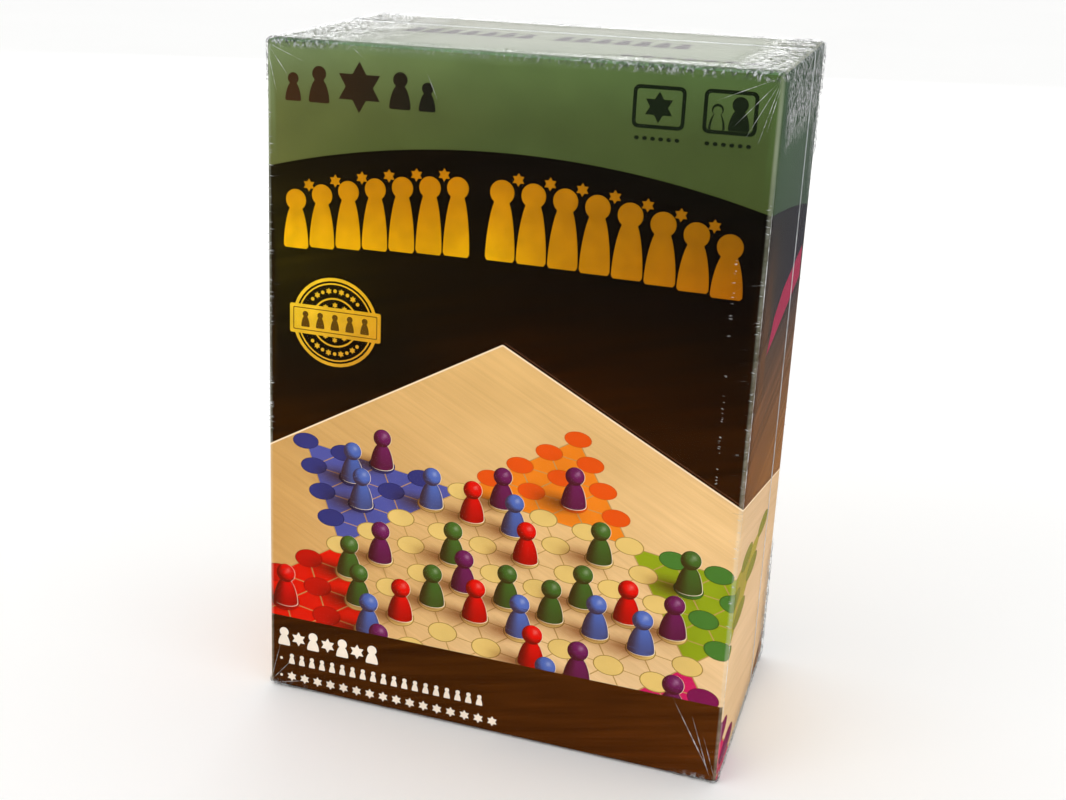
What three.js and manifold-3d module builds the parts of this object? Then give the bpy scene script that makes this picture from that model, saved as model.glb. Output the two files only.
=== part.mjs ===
// A boxed Chinese checkers set: a two-piece rigid card box in a shrink film, standing on its short end.
// Inside lie a folding playing board, a die-cut insert on a card riser, and six groups of wooden pawns.
//
// Millimetres. X is the box's width, Y its depth (the lid's face looks to -Y), Z its height.
// The origin is the centre of the bottom. Glued and touching sheets keep a small gap between them.

import * as THREE from 'three';
import Module from 'manifold-3d';
import { RoundedBoxGeometry } from 'three/addons/geometries/RoundedBoxGeometry.js';
import { mergeVertices } from 'three/addons/utils/BufferGeometryUtils.js';

const wasm = await Module();
wasm.setup();

// ---- driving dimensions -------------------------------------------------------------------------

const WIDTH = 190;            // outside of the film
const DEPTH = 110;
const HEIGHT = 270;

const GAP = 0.3;              // between pieces that touch
const GLUE = 0.2;             // between sheets that are glued together
const FILM = 0.3;             // shrink film
const WRAP = 0.3;             // printed paper that covers the card
const CARD = 1.8;             // grey card of the lid and the base
const LID_CLEARANCE = 0.7;    // between the lid's card and the base's paper
const EDGE_RADIUS = 2.2;      // of the film's edges; each layer inside it has a smaller one

const FRONT_Y = -DEPTH / 2;
const LID_RIM_STEP = 1.1;     // how far the lid's rim stops short of the base's back
const BASE_RIM_Y = FRONT_Y + 16.8;   // front edge of the base's side walls

const SEAM_Y = 22;            // the film's weld line lies nearer the back
const SEAM_HALF = 0.25;       // half width of the weld line
const SEAM_GAP = 0.3;

const INSERT_CLEARANCE = 0.4;
const DECK_Y = FRONT_Y + 16.4;       // front face of the insert block, which the board lies on
const LEDGE_Y = FRONT_Y + 3.8;       // front face of the strip beside the board
const LEDGE_RIGHT = -41.3;
const NOTCH_RADIUS = 14;      // thumb notch in the strip
const POCKET = { width: 52, height: 22, depth: 21.6, columns: 2, rows: 3 };
const FLOOR_CARD = 1.2;
const RISER_WALL = 1.5;

const LEAF = { left: -40, right: 87.6, thick: 6.0, core: 5.0, sheet: 0.3, length: 256 };
const HINGE_X = 88.0;
const FACE_GAP = 0.6;         // between the printed faces of the folded board
const HINGE_BEAD_RADIUS = 0.15;

const PAWN = { pitch: 9.8, columns: 5, rows: 2, sides: 8 };
const PAWN_PROFILE = [[0, 0], [5, 0], [5, 1], [3.6, 7], [2, 12.6], [3.4, 15], [3.5, 17.6], [1.8, 19.7], [0, 20]];
const PAWN_COLOURS = {
  blue: 0x1f3f8f, purple: 0x4a1a5c, red: 0xb3121a, green: 0x1f5a24, orange: 0xd9661a, yellow: 0xe3c02e,
};

// ---- derived sizes: half extents of each nested shell, from the outside in -------------------------

// A layer is a box that is open or closed at its ends: x is its half width, z0 and z1 its bottom and top.
function inward(layer, by) {
  return { x: layer.x - by, z0: layer.z0 + by, z1: layer.z1 - by, y0: layer.y0 + by, y1: layer.y1 - by };
}

const filmOut = { x: WIDTH / 2, z0: 0, z1: HEIGHT, y0: -DEPTH / 2, y1: DEPTH / 2 };
const filmIn = inward(filmOut, FILM);
const lidWrapOut = inward(filmIn, GAP);
const lidWrapIn = inward(lidWrapOut, WRAP);
const lidCardOut = inward(lidWrapIn, GAP);
const lidCardIn = inward(lidCardOut, CARD);
const baseWrapOut = { ...inward(lidCardIn, LID_CLEARANCE), y1: filmIn.y1 - GAP };
const baseWrapIn = inward(baseWrapOut, WRAP);
const baseCardOut = inward(baseWrapIn, GAP);
const baseCardIn = inward(baseCardOut, CARD);
const lidRimY = lidWrapOut.y1 - LID_RIM_STEP + GAP;
const midZ = HEIGHT / 2;

// ---- solids ---------------------------------------------------------------------------------------

function solid(geometry) {
  const bare = geometry.index ? geometry.toNonIndexed() : geometry.clone();
  bare.deleteAttribute('normal');
  bare.deleteAttribute('uv');
  const merged = mergeVertices(bare, 1e-4);
  return new wasm.Manifold(new wasm.Mesh({
    numProp: 3,
    vertProperties: new Float32Array(merged.attributes.position.array),
    triVerts: new Uint32Array(merged.index.array),
  }));
}

function geometryOf(manifold) {
  const mesh = manifold.getMesh();
  const geometry = new THREE.BufferGeometry();
  geometry.setAttribute('position', new THREE.BufferAttribute(new Float32Array(mesh.vertProperties), 3));
  geometry.setIndex(new THREE.BufferAttribute(new Uint32Array(mesh.triVerts), 1));
  geometry.computeVertexNormals();
  return geometry;
}

function boxSolid(x0, x1, y0, y1, z0, z1) {
  const geometry = new THREE.BoxGeometry(x1 - x0, y1 - y0, z1 - z0);
  geometry.translate((x0 + x1) / 2, (y0 + y1) / 2, (z0 + z1) / 2);
  return solid(geometry);
}

function layerSolid(layer) {
  return boxSolid(-layer.x, layer.x, layer.y0, layer.y1, layer.z0, layer.z1);
}

// The same with rounded edges, whose radius shrinks by the layer's distance from the outside.
function roundedSolid(layer) {
  const radius = EDGE_RADIUS - (WIDTH / 2 - layer.x);
  const geometry = new RoundedBoxGeometry(2 * layer.x, layer.y1 - layer.y0, layer.z1 - layer.z0, 2, radius);
  geometry.translate(0, (layer.y0 + layer.y1) / 2, (layer.z0 + layer.z1) / 2);
  return solid(geometry);
}

// Everything in front of (smaller Y than) a plane, or behind it.
const FAR = 400;

function inFrontOf(y) {
  return boxSolid(-FAR, FAR, -FAR, y, -FAR, FAR);
}

function behind(y) {
  return boxSolid(-FAR, FAR, y, FAR, -FAR, FAR);
}

// ---- the scene --------------------------------------------------------------------------------------

const set = new THREE.Group();

function add(name, geometry, colour, roughness) {
  const material = new THREE.MeshStandardMaterial({ color: colour, roughness, metalness: 0 });
  const mesh = new THREE.Mesh(geometry, material);
  mesh.name = name;
  set.add(mesh);
}

// Lid: a grey card shell open at the back, and the printed paper around it.
function addLid() {
  const card = roundedSolid({ ...lidCardOut, y1: DEPTH })
    .subtract(layerSolid({ ...lidCardIn, y1: FAR }))
    .subtract(behind(lidRimY - GAP));
  const wrap = roundedSolid({ ...lidWrapOut, y1: DEPTH })
    .subtract(roundedSolid({ ...lidWrapIn, y1: FAR }))
    .subtract(behind(lidRimY));
  add('lid_card_shell', geometryOf(card), 0xa9a294, 0.9);
  add('lid_printed_wrap', geometryOf(wrap), 0x3b4a2c, 0.35);
}

// Base: a shallower card shell open at the front, which telescopes into the lid.
function addBase() {
  const card = layerSolid({ ...baseCardOut, y0: BASE_RIM_Y }).subtract(layerSolid({ ...baseCardIn, y0: -FAR }));
  const wrap = layerSolid({ ...baseWrapOut, y0: BASE_RIM_Y }).subtract(layerSolid({ ...baseWrapIn, y0: -FAR }));
  add('base_card_shell', geometryOf(card), 0xa9a294, 0.9);
  add('base_printed_wrap', geometryOf(wrap), 0x2b2018, 0.4);
}

// Shrink film: two sheets, one over the lid's face and one over the back, welded along a line round the sides.
function addFilm() {
  const shell = roundedSolid(filmOut).subtract(roundedSolid(filmIn));
  const cut = SEAM_HALF + SEAM_GAP;
  add('film_front', geometryOf(shell.intersect(inFrontOf(SEAM_Y - cut))), 0xdfe6ea, 0.08);
  add('film_back', geometryOf(shell.intersect(behind(SEAM_Y + cut))), 0xdfe6ea, 0.08);
  const seam = shell.intersect(inFrontOf(SEAM_Y + SEAM_HALF)).intersect(behind(SEAM_Y - SEAM_HALF));
  add('film_weld_seam', geometryOf(seam), 0xf2f5f7, 0.2);
}

// The insert's pieces fill the base's inside, with a small clearance to its walls.
const insertX = baseCardIn.x - INSERT_CLEARANCE;
const insertZ0 = baseCardIn.z0 + INSERT_CLEARANCE;
const insertZ1 = baseCardIn.z1 - INSERT_CLEARANCE;
const blockBackY = DECK_Y + POCKET.depth;

const pockets = [];
for (let row = 0; row < POCKET.rows; row += 1) {
  for (let column = 0; column < POCKET.columns; column += 1) {
    const x = LEDGE_RIGHT + (insertX - LEDGE_RIGHT) * (column + 0.5) / POCKET.columns;
    const z = insertZ0 + (insertZ1 - insertZ0) * (row + 0.5) / POCKET.rows;
    pockets.push({ x, z });
  }
}

// Insert block: a thick die-cut slab with six pockets cut through it, and a flat card floor behind them.
function addInsertBlock() {
  let block = boxSolid(-insertX, insertX, DECK_Y, blockBackY, insertZ0, insertZ1);
  for (const { x, z } of pockets) {
    const halfWidth = POCKET.width / 2;
    const halfHeight = POCKET.height / 2;
    block = block.subtract(
      boxSolid(x - halfWidth, x + halfWidth, DECK_Y - 1, blockBackY + 1, z - halfHeight, z + halfHeight),
    );
  }
  add('insert_block', geometryOf(block), 0xe9e6df, 0.8);
  const floorY = blockBackY + GLUE;
  const floor = boxSolid(-insertX, insertX, floorY, floorY + FLOOR_CARD, insertZ0, insertZ1);
  add('insert_floor', geometryOf(floor), 0xcfc8b8, 0.85);
}

// Ledge: a strip on the block beside the board, which holds it sideways, with a round thumb notch.
function addLedge() {
  const notch = new THREE.CylinderGeometry(NOTCH_RADIUS, NOTCH_RADIUS, DEPTH, 24);
  notch.translate(LEDGE_RIGHT, LEDGE_Y, midZ);
  const strip = boxSolid(-insertX, LEDGE_RIGHT, LEDGE_Y, DECK_Y - GLUE, insertZ0, insertZ1);
  add('board_ledge', geometryOf(strip.subtract(solid(notch))), 0xe9e6df, 0.8);
}

// Riser: a folded card frame with one web, which holds the insert up from the base's floor.
function addRiser() {
  const y0 = blockBackY + GLUE + FLOOR_CARD + GAP;
  const y1 = baseCardIn.y1 - GAP;
  const w = RISER_WALL;
  const frame = boxSolid(-insertX, insertX, y0, y1, insertZ0, insertZ1)
    .subtract(boxSolid(-insertX + w, -w / 2, -FAR, FAR, insertZ0 + w, insertZ1 - w))
    .subtract(boxSolid(w / 2, insertX - w, -FAR, FAR, insertZ0 + w, insertZ1 - w));
  add('card_riser', geometryOf(frame), 0xcfc8b8, 0.85);
}

// Board: two thick leaves hinged along one long edge, folded with the printed faces together.
const boardBackY = DECK_Y - GAP;
const hingeY = boardBackY - LEAF.thick - FACE_GAP / 2;

function addSheet(name, y0, thick, colour, roughness) {
  const geometry = new THREE.BoxGeometry(LEAF.right - LEAF.left, thick, LEAF.length);
  geometry.translate((LEAF.left + LEAF.right) / 2, y0 + thick / 2, midZ);
  add(name, geometry, colour, roughness);
}

function addBoard() {
  const facing = { back: 1, front: -1 };
  for (const [leaf, side] of Object.entries(facing)) {
    const faceY = hingeY + side * FACE_GAP / 2;
    const layers = [
      ['printed_face', LEAF.sheet, 0xd9b380, 0.5],
      ['core', LEAF.core, 0x8a7a63, 0.9],
      ['cover_paper', LEAF.sheet, 0x2a2a2c, 0.7],
    ];
    let depth = 0;
    for (const [part, thick, colour, roughness] of layers) {
      const near = faceY + side * depth;
      addSheet(`board_${leaf}_${part}`, Math.min(near, near + side * thick), thick, colour, roughness);
      depth += thick + GLUE;
    }
  }
  const bead = new THREE.CylinderGeometry(HINGE_BEAD_RADIUS, HINGE_BEAD_RADIUS, LEAF.length - 2, 8);
  bead.rotateX(Math.PI / 2);
  bead.translate(HINGE_X, hingeY, midZ);
  add('board_hinge_linen', bead, 0x1e1e20, 0.8);
}

// Pawns: each colour stands in its own pocket, heads towards the lid, and is one node of touching pawns.
function pawnSolid(x, z, baseY) {
  const profile = PAWN_PROFILE.map(([radius, height]) => new THREE.Vector2(radius, height));
  const geometry = new THREE.LatheGeometry(profile, PAWN.sides);
  geometry.rotateX(Math.PI);
  geometry.translate(x, baseY, z);
  return solid(geometry);
}

function addPawns() {
  const baseY = blockBackY - GAP;
  Object.entries(PAWN_COLOURS).forEach(([name, colour], index) => {
    const pocket = pockets[index];
    let group = null;
    for (let row = 0; row < PAWN.rows; row += 1) {
      for (let column = 0; column < PAWN.columns; column += 1) {
        const x = pocket.x + (column - (PAWN.columns - 1) / 2) * PAWN.pitch;
        const z = pocket.z + (row - (PAWN.rows - 1) / 2) * PAWN.pitch;
        const pawn = pawnSolid(x, z, baseY);
        group = group ? group.add(pawn) : pawn;
      }
    }
    add(`pawns_${name}`, geometryOf(group), colour, 0.25);
  });
}

addLid();
addBase();
addFilm();
addInsertBlock();
addLedge();
addRiser();
addBoard();
addPawns();

export default set;
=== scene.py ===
"""A boxed Chinese checkers set in shrink film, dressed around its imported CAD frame.

Blender units are metres. Artwork is drawn flat in millimetres, with x across the box and z up. The lid's
picture runs on round its corners. Each artwork is cut into one mesh and folded on to its piece.
"""

import math
import random
from contextlib import contextmanager

import bmesh
import bpy
import numpy as np
from mathutils import Matrix, Vector, noise
from mathutils.geometry import delaunay_2d_cdt


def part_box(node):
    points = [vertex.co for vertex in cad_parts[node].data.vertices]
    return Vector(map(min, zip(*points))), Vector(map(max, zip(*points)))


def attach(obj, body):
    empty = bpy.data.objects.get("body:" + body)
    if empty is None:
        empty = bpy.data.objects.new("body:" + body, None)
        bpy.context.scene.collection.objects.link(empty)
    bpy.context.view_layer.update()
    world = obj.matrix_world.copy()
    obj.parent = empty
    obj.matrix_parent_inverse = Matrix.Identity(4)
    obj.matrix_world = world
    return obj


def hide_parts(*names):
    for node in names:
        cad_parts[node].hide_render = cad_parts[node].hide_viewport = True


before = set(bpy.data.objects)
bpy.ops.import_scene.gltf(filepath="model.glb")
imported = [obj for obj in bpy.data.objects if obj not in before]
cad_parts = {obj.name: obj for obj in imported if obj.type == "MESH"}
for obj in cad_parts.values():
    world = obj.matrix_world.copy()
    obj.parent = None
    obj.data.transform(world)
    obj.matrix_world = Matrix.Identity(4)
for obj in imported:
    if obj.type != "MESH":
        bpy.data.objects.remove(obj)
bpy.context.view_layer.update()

MM = 0.001
SEED = 7
# The lid's folded edges are drawn paler: rubbed wear, and a painted highlight of the rounded edge.
EDGE_WEAR_AND_SHEEN_AT = 93.9           # picture millimetres from the middle to the lid's folded edges
FILM_IOR = 1.08
FILM_SHINE = 0.024            # the most that the film reflects where it lies tight on the sides
END_SHINE = 0.055             # and where it stands off the box's ends

# ---- small helpers -------------------------------------------------------------------------------


def box_mm(node):
    """Lowest and highest corner of a CAD node, in millimetres."""
    low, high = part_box(node)
    return np.array(low) / MM, np.array(high) / MM


def linear(srgb):
    """Linear colour of an sRGB colour given from 0 to 255."""
    value = np.clip(np.asarray(srgb, float) / 255, 0, 1)
    return np.where(value <= 0.04045, value / 12.92, ((value + 0.055) / 1.055) ** 2.4)


def colour4(srgb):
    return (*linear(srgb), 1.0)


def smooth(low, high, value):
    t = np.clip((value - low) / (high - low), 0, 1)
    return t * t * (3 - 2 * t)


def link_mesh(name, points_mm, faces, materials=()):
    """A new object from points in millimetres."""
    mesh = bpy.data.meshes.new(name)
    mesh.from_pydata((np.asarray(points_mm, float) * MM).tolist(), [], [list(f) for f in faces])
    mesh.update()
    for material in materials:
        mesh.materials.append(material)
    piece = bpy.data.objects.new(name, mesh)
    bpy.context.scene.collection.objects.link(piece)
    return piece


@contextmanager
def editing(piece):
    """A piece's mesh, open for changes inside a with block."""
    work = bmesh.new()
    work.from_mesh(piece.data)
    yield work
    work.to_mesh(piece.data)
    work.free()


def weld(piece, distance=2e-6):
    with editing(piece) as work:
        bmesh.ops.remove_doubles(work, verts=work.verts, dist=distance)


# ---- node materials ------------------------------------------------------------------------------


class Nodes:
    """Builds one node material. In names of sockets, _ stands for a space."""

    def __init__(self, name):
        self.material = bpy.data.materials.new(name)
        self.material.use_nodes = True
        self.tree = self.material.node_tree
        self.shader = self.tree.nodes["Principled BSDF"]
        self.output = self.tree.nodes["Material Output"]

    def new(self, kind, settings=None, **values):
        node = self.tree.nodes.new("ShaderNode" + kind)
        for key, value in (settings or {}).items():
            setattr(node, key, value)
        for key, value in values.items():
            self.feed(value, node.inputs[key.replace("_", " ")])
        return node

    def feed(self, value, socket):
        if isinstance(value, bpy.types.NodeSocket):
            self.tree.links.new(value, socket)
        else:
            socket.default_value = value

    def set(self, **values):
        for key, value in values.items():
            self.feed(value, self.shader.inputs[key.replace("_", " ")])

    def place(self, source="Object", uv=None, scale=(1, 1, 1), turn=0.0):
        """A coordinate in metres, or in the units of a UV map, turned about Z and scaled."""
        if uv:
            vector = self.new("UVMap", {"uv_map": uv}).outputs[0]
        else:
            vector = self.new("TexCoord").outputs[source]
        turned = self.new("Mapping", Vector=vector, Rotation=(0, 0, turn))
        return self.new("Mapping", Vector=turned.outputs[0], Scale=scale).outputs[0]

    def noise(self, vector, scale, detail=4.0, roughness=0.55):
        node = self.new("TexNoise", Vector=vector, Scale=scale, Detail=detail, Roughness=roughness)
        return node.outputs[0]

    def ramp(self, value, low, high, out_low=0.0, out_high=1.0):
        return self.new("MapRange", {"clamp": True}, Value=value, From_Min=low, From_Max=high,
                        To_Min=out_low, To_Max=out_high).outputs[0]

    def maths(self, operation, a, b=0.0):
        node = self.new("Math", {"operation": operation})
        self.feed(a, node.inputs[0])
        self.feed(b, node.inputs[1])
        return node.outputs[0]

    def tint(self, factor, a, b, blend="MIX"):
        node = self.new("Mix", {"data_type": "RGBA", "blend_type": blend})
        self.feed(factor, node.inputs[0])
        self.feed(a, node.inputs[6])
        self.feed(b, node.inputs[7])
        return node.outputs[2]

    def blend(self, factor, low, high):
        """A colour between two sRGB colours, as factor goes from 0 to 1."""
        return self.tint(factor, colour4(low), colour4(high))

    def grey(self, value):
        return self.new("CombineColor", Red=value, Green=value, Blue=value).outputs[0]

    def bump(self, height, strength, distance):
        return self.new("Bump", Height=height, Strength=strength, Distance=distance).outputs[0]


def ink_colour(nodes):
    """The printed ink, paler along the lid's folded edges: partly rubbed wear, partly a painted highlight
    where the rounded edges catch light.
    """
    ink = nodes.new("Attribute", {"attribute_name": "ink"}).outputs["Color"]
    across = nodes.new("SeparateXYZ", Vector=nodes.place(uv="picture")).outputs["X"]
    edge = nodes.maths("ABSOLUTE", nodes.maths("SUBTRACT", nodes.maths("ABSOLUTE", across), EDGE_WEAR_AND_SHEEN_AT))
    patchy = nodes.ramp(nodes.noise(nodes.place(scale=(1, 1, 0.2)), 120, 4), 0.3, 0.7, 0.55, 1.0)
    # Paler near the folded edges, in patches: wear, and a painted highlight of the edge's rounding.
    wear_and_painted_sheen = nodes.maths("MULTIPLY", nodes.ramp(edge, 0.5, 1.3, 0.42, 0.0), patchy)
    return nodes.tint(wear_and_painted_sheen, ink, nodes.tint(0.5, ink, colour4((236, 240, 214)), "SCREEN"))


def soft_gloss(nodes):
    """A thin varnish: hardly any shine head on, and a little at a shallow angle."""
    nodes.set(Specular_IOR_Level=0.0, Coat_Weight=0.03, Coat_Roughness=0.28)


def print_plain():
    """Coated paper printed in flat tones, with a faint screen and a slight unevenness."""
    m = Nodes("print_plain")
    place = m.place()
    mottle = m.ramp(m.noise(place, 60, 5), 0.3, 0.7, 0.9, 1.06)
    m.set(Base_Color=m.tint(1.0, ink_colour(m), m.grey(mottle), "MULTIPLY"))
    m.set(Roughness=m.ramp(m.noise(place, 900, 3), 0.3, 0.7, 0.34, 0.46))
    m.set(Normal=m.bump(m.noise(place, 1400, 2), 0.04, 0.0002))
    soft_gloss(m)
    return m.material


def print_grain(name, turn, stretch, low, high, pale):
    """Coated paper printed with a picture of wood: streaks along one direction of the artwork."""
    m = Nodes(name)
    along, across = stretch
    streak = m.noise(m.place(uv="picture", turn=turn, scale=(along, across, 1)), 1.0, 7, 0.62)
    fine = m.noise(m.place(uv="picture", turn=turn, scale=(along * 2.2, across * 5, 1)), 1.0, 4, 0.6)
    broad = m.noise(m.place(uv="picture", scale=(0.018, 0.03, 1)), 1.0, 3)
    mixed = m.maths("ADD", m.maths("MULTIPLY", streak, 0.62), m.maths("MULTIPLY", fine, 0.38))
    tone = m.maths("MULTIPLY", m.ramp(mixed, 0.34, 0.66, low, high),
                   m.ramp(broad, 0.3, 0.7, 0.93, 1.07))
    shade = m.new("CombineColor", Red=tone, Green=m.maths("POWER", tone, pale),
                  Blue=m.maths("POWER", tone, pale * 1.3))
    m.set(Base_Color=m.tint(1.0, ink_colour(m), shade.outputs[0], "MULTIPLY"))
    m.set(Roughness=m.ramp(fine, 0.3, 0.7, 0.34, 0.46))
    m.set(Normal=m.bump(m.noise(m.place(), 1400, 2), 0.04, 0.0002))
    soft_gloss(m)
    return m.material


def print_gold():
    """Warm metallic ink with a fine grain."""
    m = Nodes("print_gold")
    place = m.place()
    mottle = m.ramp(m.noise(place, 160, 5), 0.3, 0.7, 0.86, 1.1)
    m.set(Base_Color=m.tint(1.0, ink_colour(m), m.grey(mottle), "MULTIPLY"))
    m.set(Roughness=m.ramp(m.noise(place, 700, 3), 0.3, 0.7, 0.3, 0.44))
    m.set(Normal=m.bump(m.noise(place, 500, 3), 0.1, 0.0002))
    soft_gloss(m)
    m.set(Metallic=0.3)
    return m.material


def grey_card():
    m = Nodes("grey_card")
    place = m.place()
    fibre = m.noise(m.place(scale=(1, 1, 0.35)), 1500, 6, 0.7)
    speck = m.ramp(m.noise(place, 2600, 2), 0.66, 0.72)
    tone = m.blend(m.ramp(fibre, 0.3, 0.7), (150, 142, 128), (184, 176, 160))
    m.set(Base_Color=m.tint(speck, tone, colour4((92, 84, 74))), Normal=m.bump(fibre, 0.3, 0.0002))
    m.set(Roughness=0.88)
    return m.material


def riser_card():
    m = Nodes("riser_card")
    fibre = m.noise(m.place(scale=(0.3, 1, 1)), 1200, 6, 0.7)
    broad = m.noise(m.place(), 45, 3)
    tone = m.blend(m.ramp(fibre, 0.3, 0.7), (172, 138, 96), (204, 172, 128))
    m.set(Base_Color=m.tint(m.ramp(broad, 0.3, 0.7, 0.0, 0.3), tone, colour4((160, 126, 86))))
    m.set(Normal=m.bump(fibre, 0.35, 0.0002))
    m.set(Roughness=0.9)
    return m.material


def insert_card():
    """Laminated corrugated card: a white liner in front, and brown plies that show where it is cut."""
    m = Nodes("insert_card")
    fibre = m.noise(m.place(), 1400, 5, 0.65)
    geometry = m.new("NewGeometry")
    facing = m.new("SeparateXYZ", Vector=geometry.outputs["Normal"]).outputs["Y"]
    cut = m.ramp(m.maths("ABSOLUTE", facing), 0.4, 0.6, 1.0, 0.0)
    depth = m.new("SeparateXYZ", Vector=m.place()).outputs["Y"]
    ply = m.maths("SINE", m.maths("MULTIPLY", depth, 2 * math.pi / (3.6 * MM)))
    brown = m.blend(m.ramp(ply, -0.2, 0.2), (150, 116, 78), (198, 166, 124))
    white = m.blend(m.ramp(fibre, 0.3, 0.7), (222, 218, 208), (240, 237, 229))
    relief = m.maths("ADD", fibre, m.maths("MULTIPLY", ply, cut))
    m.set(Base_Color=m.tint(cut, white, brown), Normal=m.bump(relief, 0.3, 0.0003))
    m.set(Roughness=0.82)
    return m.material


def cover_paper():
    """Dark embossed paper, as on a bound board's back."""
    m = Nodes("cover_paper")
    weave = m.new("TexVoronoi", Vector=m.place(), Scale=900.0).outputs["Distance"]
    tone = m.blend(m.ramp(m.noise(m.place(), 120, 4), 0.3, 0.7), (34, 34, 37), (50, 49, 52))
    m.set(Base_Color=tone, Normal=m.bump(weave, 0.4, 0.0003), Roughness=m.ramp(weave, 0.0, 0.6, 0.55, 0.75))
    return m.material


def hinge_linen():
    m = Nodes("hinge_linen")
    wave = m.new("TexWave", {"bands_direction": "Z"}, Vector=m.place(), Scale=420.0, Distortion=1.5)
    threads = wave.outputs["Fac"]
    m.set(Base_Color=m.blend(threads, (26, 26, 28), (52, 51, 54)))
    m.set(Normal=m.bump(threads, 0.5, 0.0002))
    m.set(Roughness=0.85)
    return m.material


def board_core():
    m = Nodes("board_core")
    layers = m.noise(m.place(scale=(0.4, 30, 0.4)), 60, 5, 0.7)
    m.set(Base_Color=m.blend(m.ramp(layers, 0.3, 0.7), (126, 112, 92), (164, 148, 124)))
    m.set(Normal=m.bump(layers, 0.4, 0.0002))
    m.set(Roughness=0.9)
    return m.material


def lacquered_wood(name, srgb):
    """Turned wood under coloured lacquer: the grain shows faintly, and tool rings run round the axis."""
    m = Nodes(name)
    grain = m.noise(m.place(scale=(1, 0.12, 1)), 1300, 6, 0.6)
    rings = m.noise(m.place(scale=(0.02, 1, 0.02)), 2200, 3)
    dark = [c * 0.72 for c in srgb]
    m.set(Base_Color=m.blend(m.ramp(grain, 0.35, 0.68), dark, srgb))
    m.set(Normal=m.bump(m.maths("ADD", grain, rings), 0.12, 0.0003))
    m.set(Roughness=m.ramp(grain, 0.3, 0.7, 0.22, 0.34), Coat_Weight=0.6, Coat_Roughness=0.12)
    return m.material


def shrink_film():
    """Clear film: gloss over nothing, with fine ripples, and, where it has bunched up, folds painted silver
    in light and dark patches: a whitish haze of crinkled film with a painted reflection and painted glints
    over it.
    """
    m = Nodes("shrink_film")
    place = m.place()
    crumple = m.new("Attribute", {"attribute_name": "crumple"}).outputs["Fac"]
    ripple = m.new("Attribute", {"attribute_name": "ripple"}).outputs["Fac"]
    fold_place = m.place(scale=(1, 1, 0.5))
    folds = m.noise(fold_place, 210, 6, 0.66)
    ticks = m.noise(m.place(scale=(0.12, 0.12, 1)), 900, 3, 0.6)
    creased = m.maths("MULTIPLY", folds, m.ramp(crumple, 0, 1, 0.03, 1.0))
    height = m.maths("ADD", creased, m.maths("MULTIPLY", m.maths("MULTIPLY", ticks, ripple), 0.35))
    normal = m.bump(height, 0.9, 0.0012)
    gloss = m.new("BsdfGlossy", Color=(1, 1, 1, 1), Roughness=0.07, Normal=normal)
    clear = m.new("BsdfTransparent", Color=(1, 1, 1, 1))
    fresnel = m.new("Fresnel", IOR=FILM_IOR, Normal=normal)
    shine = m.new("Attribute", {"attribute_name": "shine"}).outputs["Fac"]
    film = m.new("MixShader", Fac=m.maths("MINIMUM", fresnel.outputs[0], shine))
    m.tree.links.new(clear.outputs[0], film.inputs[1])
    m.tree.links.new(gloss.outputs[0], film.inputs[2])
    # Along the bunched folds and the ripple ticks the film turns to an opaque silver, light and dark in
    # patches: partly the haze of crinkled film, mostly a painted reflection and painted glints.
    sharp = m.maths("ABSOLUTE", m.maths("SUBTRACT", m.noise(fold_place, 360, 5, 0.7), 0.5))
    haze_and_painted_glints = m.maths("MULTIPLY", m.ramp(sharp, 0.0, 0.06, 1.0, 0.0), m.ramp(crumple, 0.15, 0.65))
    painted_tick_glints = m.maths("MULTIPLY", m.ramp(ticks, 0.62, 0.7, 0.0, 0.4), m.ramp(ripple, 0.35, 1.0))
    painted_reflection_patches = m.ramp(m.noise(m.place(scale=(1, 1, 0.6)), 640, 3, 0.6), 0.46, 0.6)
    painted_silver_reflection = m.blend(painted_reflection_patches, (46, 52, 50), (214, 218, 220))
    m.set(Base_Color=painted_silver_reflection, Normal=normal)
    m.set(Roughness=0.2)
    whole = m.new("MixShader", Fac=m.maths("MINIMUM", m.maths("ADD", haze_and_painted_glints, painted_tick_glints), 0.92))
    m.tree.links.new(film.outputs[0], whole.inputs[1])
    m.tree.links.new(m.shader.outputs[0], whole.inputs[2])
    m.tree.links.new(whole.outputs[0], m.output.inputs[0])
    return m.material


def film_fold_highlight():
    """A sharp fold pressed into the film, drawn as a broken, pale line: a painted highlight along the fold.
    """
    m = Nodes("film_fold_highlight")
    broken = m.noise(m.place(), 420, 4, 0.6)
    m.set(Base_Color=m.blend(broken, (214, 218, 220), (252, 253, 254)))
    m.set(Alpha=m.ramp(broken, 0.36, 0.6, 0.08, 0.7), Normal=m.bump(broken, 0.3, 0.0002))
    m.set(Roughness=0.2)
    return m.material


def weld_line():
    """The melted line that joins the film's halves: cloudy and a little rough."""
    m = Nodes("weld_line")
    cloud = m.noise(m.place(scale=(1, 1, 0.2)), 900, 4)
    m.set(Base_Color=m.blend(cloud, (196, 202, 206), (240, 243, 245)))
    m.set(Normal=m.bump(cloud, 0.5, 0.0003), Alpha=m.ramp(cloud, 0.35, 0.65, 0.35, 0.85))
    m.set(Roughness=0.2)
    return m.material


MATERIALS = {
    "plain": print_plain(),
    "dark_wood": print_grain("print_dark_wood", math.radians(-14), (0.012, 0.24), 0.45, 1.5, 1.0),
    "maple": print_grain("print_maple", math.radians(28), (0.012, 0.5), 0.9, 1.06, 1.15),
    "gold": print_gold(),
}
PRINT_ORDER = list(MATERIALS)

# ---- flat artwork --------------------------------------------------------------------------------


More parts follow.
